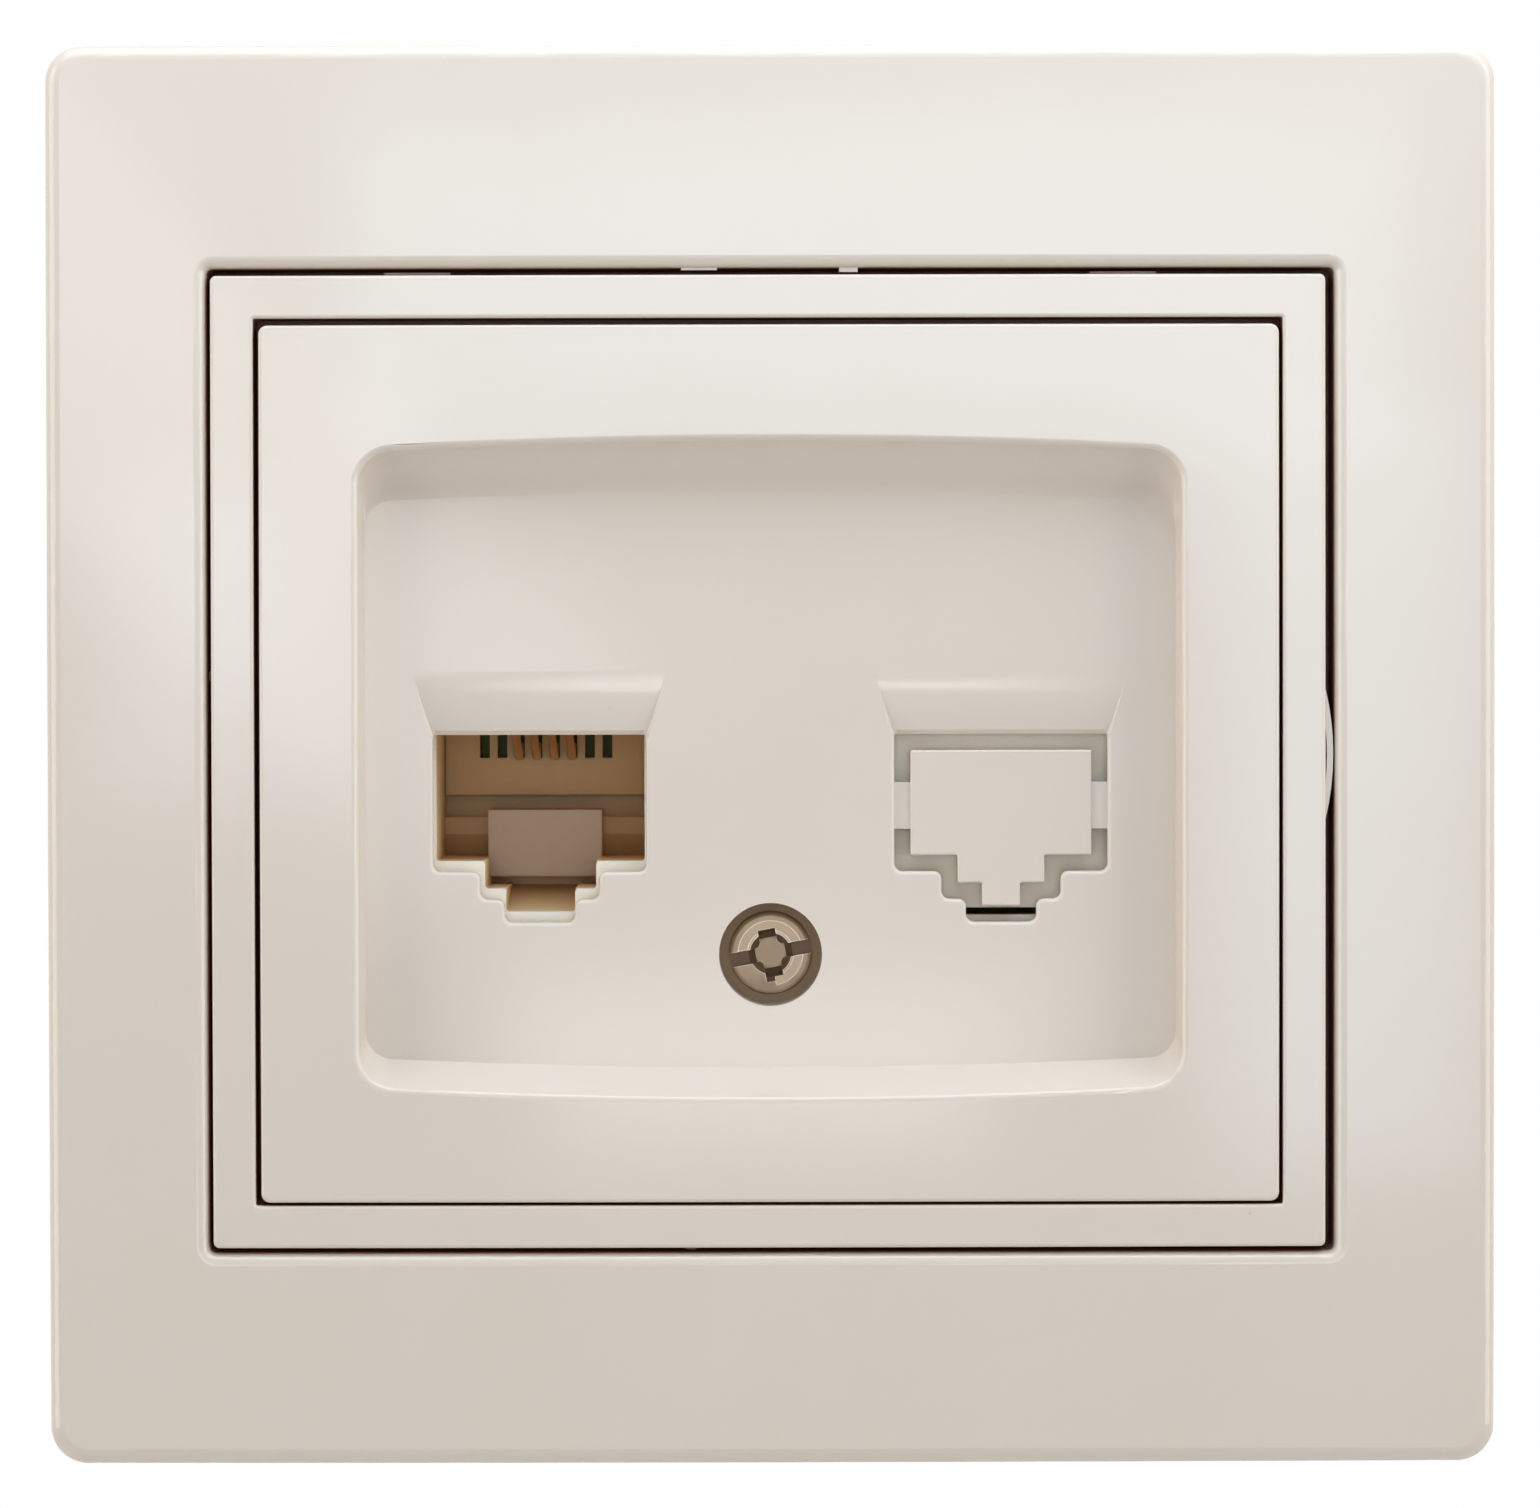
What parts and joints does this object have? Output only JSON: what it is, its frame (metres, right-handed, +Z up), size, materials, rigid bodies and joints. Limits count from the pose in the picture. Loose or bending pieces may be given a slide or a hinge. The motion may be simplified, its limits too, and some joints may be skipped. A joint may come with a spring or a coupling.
{
  "type": "ethernet wall socket",
  "caption": "Square flush-mounted data socket with a recessed face, an open modular port, a port closed by a knock-out blank, and a central fixing screw.",
  "frame": {"origin": "centre of the wall side of the support ring, midway between its fixing slots", "axes": "+X to the right as seen from the room, +Z up, -Y towards the room and +Y into the wall"},
  "size_m": [0.0812, 0.0264, 0.0796],
  "materials": {
    "frame_plastic": "polished cream ABS",
    "ring_plastic": "polished cream ABS",
    "plate_plastic": "polished cream ABS",
    "carrier_plastic": "moulded cream polyamide",
    "jack_plastic": "moulded tan polyester",
    "insert_plastic": "moulded tan polyester",
    "contact_bronze": "phosphor bronze, gold flashed",
    "board_laminate": "green solder mask",
    "strap_steel": "zinc-plated sheet",
    "screw_steel": "nickel-plated",
    "nut_steel": "zinc-plated",
    "rivet_steel": "zinc-plated",
    "terminal_plastic": "moulded grey polyamide",
    "clamp_brass": "turned brass"
  },
  "bodies": {
    "root": {"outer_frame": "frame_plastic", "trim_ring": "ring_plastic", "centre_plate": "plate_plastic", "cover_screw": "screw_steel", "cover_nut": "nut_steel", "support_ring": "strap_steel", "carrier": "carrier_plastic", "strap_rivet_left": "rivet_steel", "strap_rivet_right": "rivet_steel", "jack_housing": "jack_plastic", "contact_insert": "insert_plastic", "contact_spring_1": "contact_bronze", "contact_spring_2": "contact_bronze", "contact_spring_3": "contact_bronze", "contact_spring_4": "contact_bronze", "circuit_board": "board_laminate", "board_screw_left": "screw_steel", "board_screw_right": "screw_steel", "terminal_block": "terminal_plastic", "terminal_clamp_1": "clamp_brass", "terminal_clamp_2": "clamp_brass", "terminal_clamp_3": "clamp_brass", "terminal_clamp_4": "clamp_brass", "terminal_screw_1": "screw_steel", "terminal_screw_2": "screw_steel", "terminal_screw_3": "screw_steel", "terminal_screw_4": "screw_steel"}
  },
  "joints": []
}
